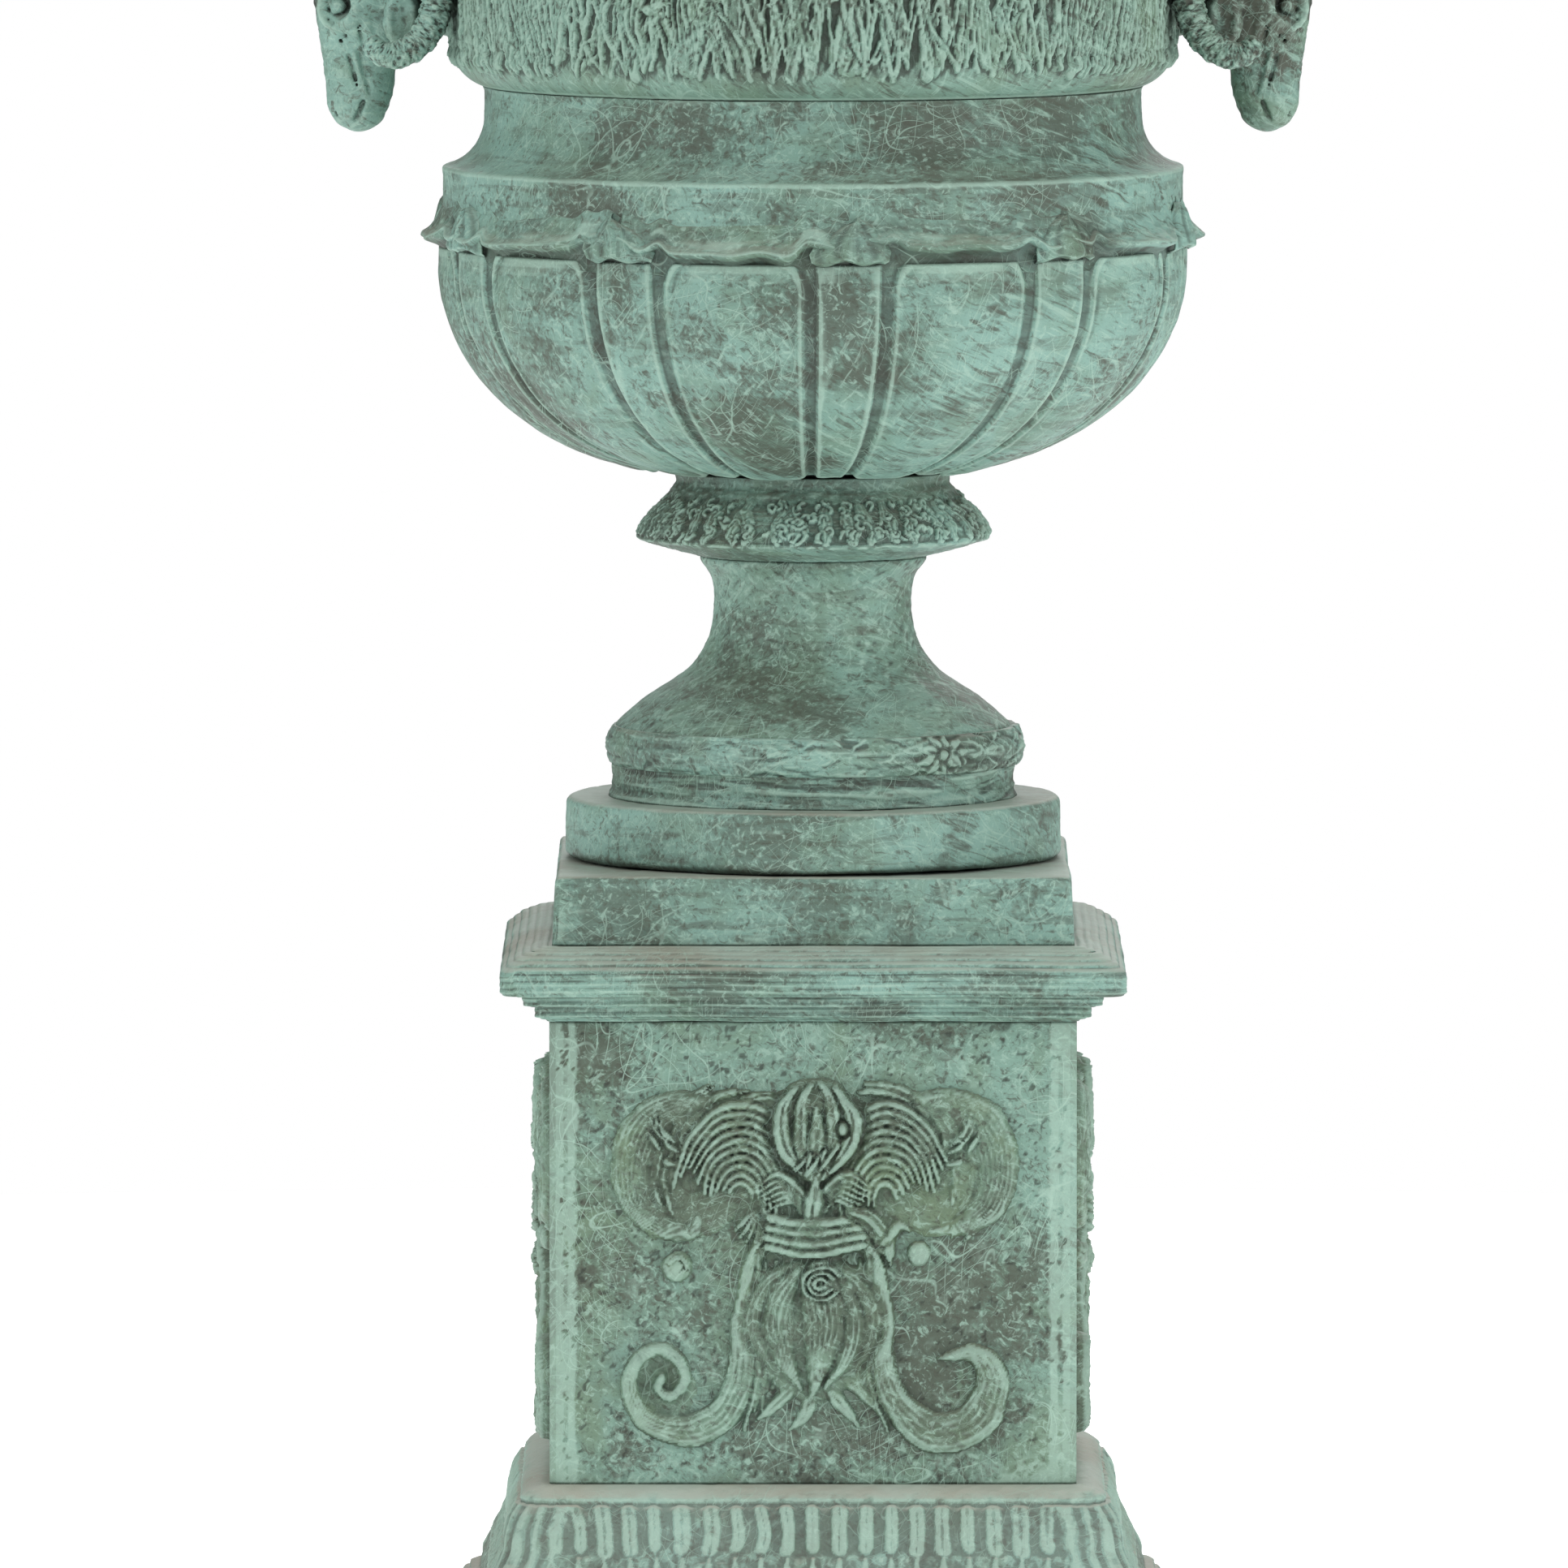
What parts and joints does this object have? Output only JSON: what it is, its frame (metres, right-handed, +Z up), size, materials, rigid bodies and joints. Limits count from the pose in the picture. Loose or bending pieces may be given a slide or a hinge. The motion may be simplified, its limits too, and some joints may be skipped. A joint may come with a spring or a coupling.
{
  "type": "garden urn on pedestal",
  "caption": "Verdigris bronze garden urn with ram heads at its sides, standing loose on a square bronze pedestal with relief ornaments.",
  "frame": {"origin": "centre of the footing's underside, on the floor", "axes": "+Z up, -Y the front, the ram heads at -X and +X"},
  "size_m": [0.6808, 0.58, 1.41],
  "materials": {
    "verdigris_urn": "satin",
    "verdigris_ram": "satin",
    "verdigris_pedestal": "satin",
    "verdigris_relief": "satin",
    "bronze_angle": "matte",
    "steel_fastener": "satin"
  },
  "bodies": {
    "pedestal": {"base_plinth": "verdigris_pedestal", "base_moulding": "verdigris_pedestal", "shaft_panel_front": "verdigris_pedestal", "shaft_panel_back": "verdigris_pedestal", "shaft_panel_left": "verdigris_pedestal", "shaft_panel_right": "verdigris_pedestal", "corner_angle_back_right": "bronze_angle", "corner_angle_back_left": "bronze_angle", "corner_angle_front_left": "bronze_angle", "corner_angle_front_right": "bronze_angle", "relief_front": "verdigris_relief", "relief_back": "verdigris_relief", "relief_left": "verdigris_relief", "relief_right": "verdigris_relief", "cornice": "verdigris_pedestal", "cap_plinth": "verdigris_pedestal", "base_bolts": "steel_fastener", "base_nuts": "steel_fastener", "panel_screws": "steel_fastener", "relief_nuts": "steel_fastener", "cap_bolts": "steel_fastener", "cap_nuts": "steel_fastener", "shaft_tie_rods": "steel_fastener", "shaft_tie_washers": "steel_fastener", "shaft_tie_nuts": "steel_fastener"},
    "urn": {"round_plinth": "verdigris_urn", "foot_band": "verdigris_urn", "laurel_ring": "verdigris_urn", "stem": "verdigris_urn", "knop_collar": "verdigris_urn", "bowl_shell": "verdigris_urn", "leaf_tip_ring": "verdigris_urn", "waist_band": "verdigris_urn", "frieze_drum": "verdigris_urn", "neck_shell": "verdigris_urn", "rim_lip": "verdigris_urn", "left_ram_head": "verdigris_ram", "right_ram_head": "verdigris_ram", "left_ram_front_horn": "verdigris_ram", "left_ram_back_horn": "verdigris_ram", "right_ram_front_horn": "verdigris_ram", "right_ram_back_horn": "verdigris_ram", "urn_tie_rod": "steel_fastener", "urn_tie_washers": "steel_fastener", "urn_tie_nuts": "steel_fastener", "waist_bolts": "steel_fastener", "waist_nuts": "steel_fastener", "drum_bolts": "steel_fastener", "drum_nuts": "steel_fastener", "neck_bolts": "steel_fastener", "neck_nuts": "steel_fastener", "rim_bolts": "steel_fastener", "ram_washers": "steel_fastener", "ram_nuts": "steel_fastener"}
  },
  "joints": [
    {"name": "urn_lift", "type": "slide", "parent": "pedestal", "child": "urn", "axis": [0, 0, 1], "range_m": [0, 0.15]}
  ]
}
